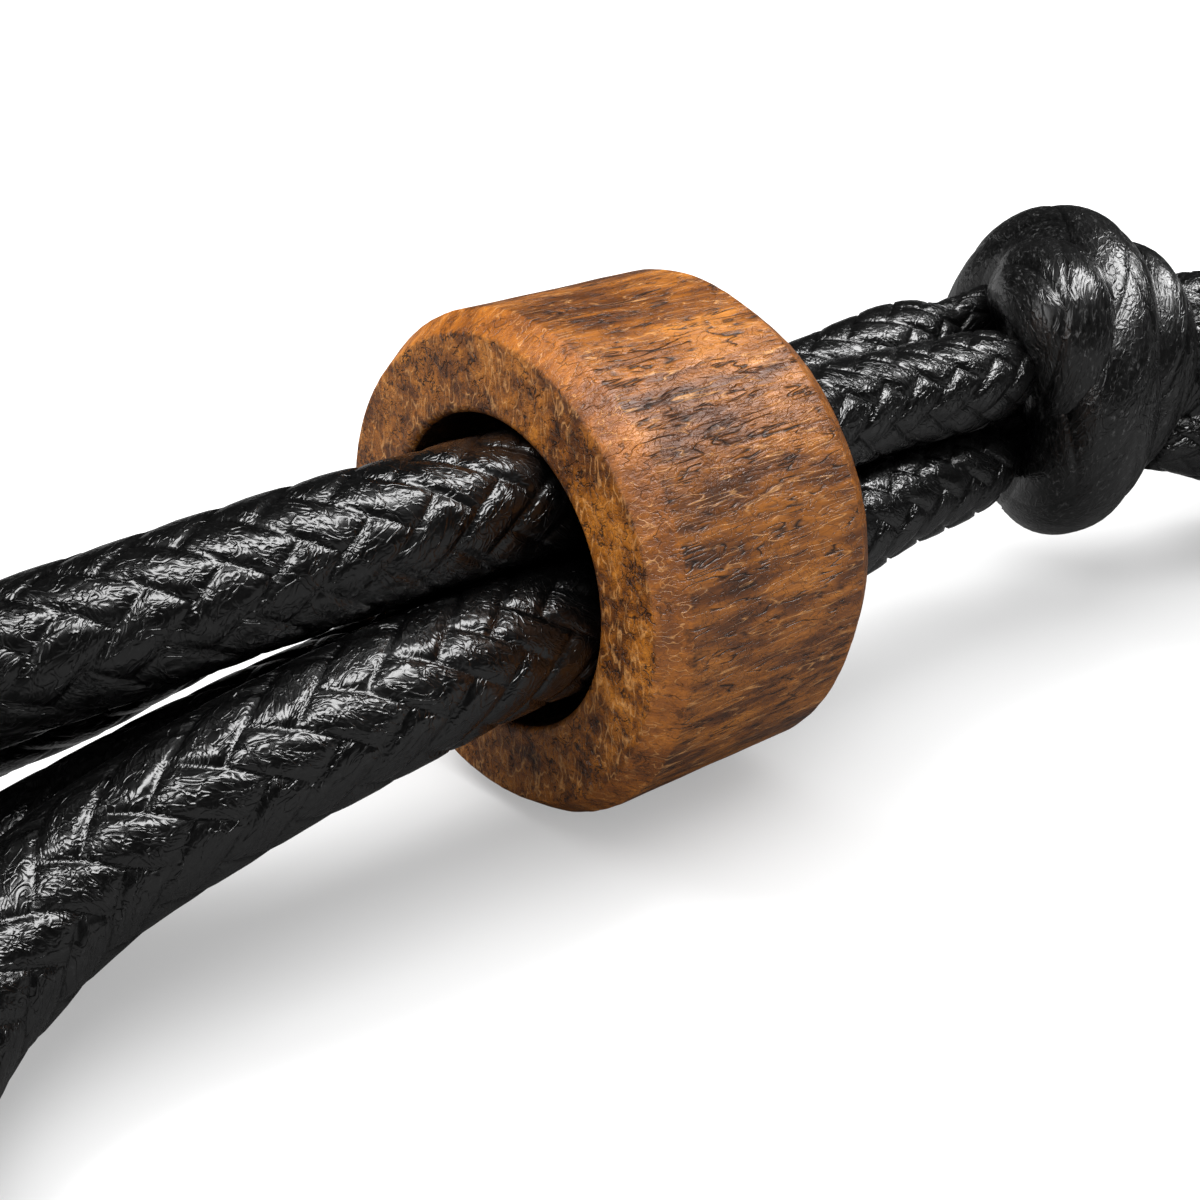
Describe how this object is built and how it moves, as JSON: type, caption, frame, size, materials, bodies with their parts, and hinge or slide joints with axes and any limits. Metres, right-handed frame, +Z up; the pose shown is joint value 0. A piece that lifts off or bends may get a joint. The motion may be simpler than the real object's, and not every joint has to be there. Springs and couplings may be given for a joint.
{
  "type": "faux leather cord bracelet",
  "caption": "Adjustable bracelet of braided black faux leather cords, gathered by a wooden sliding bead and a wrapped stopper knot.",
  "frame": {"origin": "on the surface that the bracelet lies on, under the middle of its outline", "axes": "+X along the bead's bore, from the wrist loop to the knot, +Y across the loop, +Z up"},
  "size_m": [0.1451, 0.07, 0.016],
  "materials": {
    "bead_wood": "oiled, open grain",
    "outer_cord_braid": "waxed braided faux leather",
    "inner_cord_braid": "waxed braided faux leather",
    "knot_braid": "waxed braided faux leather, pulled tight",
    "cord_end_braid": "waxed braided faux leather, cut"
  },
  "bodies": {
    "root": {"bead": "bead_wood", "outer_cord": "outer_cord_braid", "inner_cord": "inner_cord_braid", "knot": "knot_braid", "cord_end_1": "cord_end_braid", "cord_end_2": "cord_end_braid", "cord_end_3": "cord_end_braid", "cord_end_4": "cord_end_braid"}
  },
  "joints": []
}
